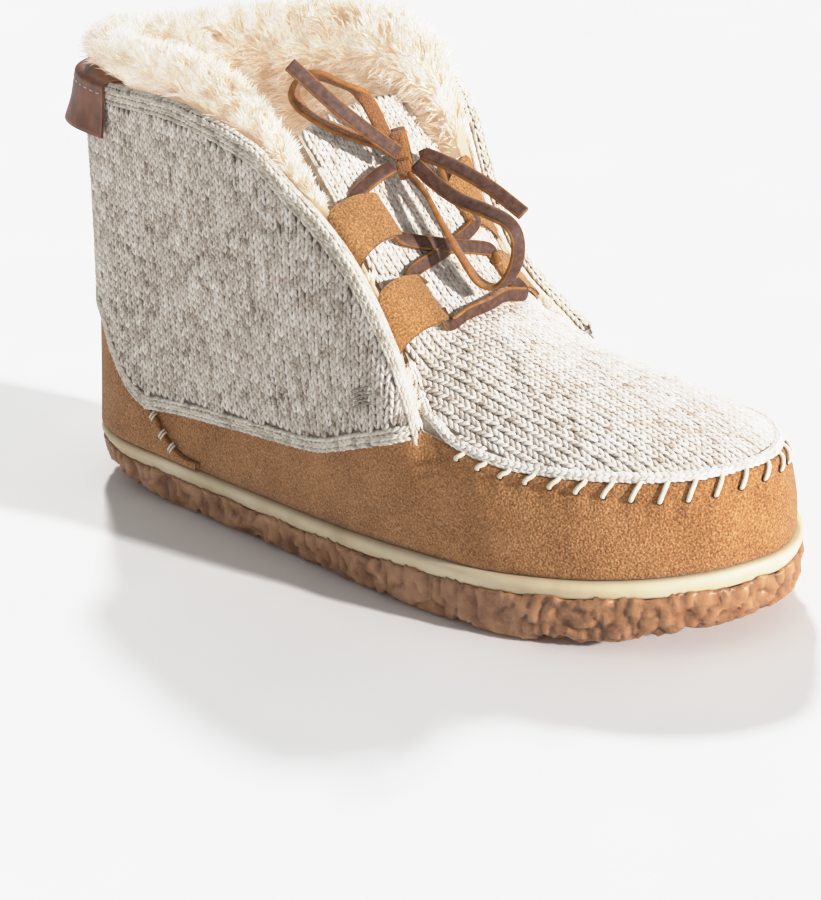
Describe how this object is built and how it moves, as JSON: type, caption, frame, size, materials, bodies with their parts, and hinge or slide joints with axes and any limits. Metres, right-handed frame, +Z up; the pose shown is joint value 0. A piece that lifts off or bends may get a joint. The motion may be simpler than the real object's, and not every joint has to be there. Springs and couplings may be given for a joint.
{
  "type": "mukluk boot",
  "caption": "Ankle-high lined boot with a moccasin toe, knitted quarters and tongue, a fur collar, lace tabs tied with a flat lace, and a ribbed rubber sole.",
  "frame": {"origin": "on the floor under the heel, at the centre of the flat heel rest", "axes": "+X to the toe, +Y to the medial side, +Z up"},
  "size_m": [0.2722, 0.0938, 0.1634],
  "materials": {
    "gum": "satin",
    "band": "satin",
    "footbed": "matte",
    "suede": "matte",
    "fur": "matte",
    "knit": "matte",
    "ribbon": "satin",
    "lace": "satin"
  },
  "bodies": {
    "root": {"outsole": "gum", "midsole": "band", "insole": "footbed", "upper": "suede", "heel_counter": "suede", "fur_lining": "fur", "plug_tongue": "knit", "heel_label": "ribbon", "quarter_lateral": "knit", "quarter_medial": "knit", "lace_tab_lateral_lower": "suede", "lace_tab_lateral_upper": "suede", "lace_tab_medial_lower": "suede", "lace_tab_medial_upper": "suede", "lace_bar": "lace", "lace_crossing": "lace", "lace_strand_lateral": "lace", "lace_strand_medial": "lace", "lace_loop_lateral": "lace", "lace_loop_medial": "lace", "lace_end_lateral": "lace", "lace_end_medial": "lace", "lace_knot": "lace"}
  },
  "joints": []
}
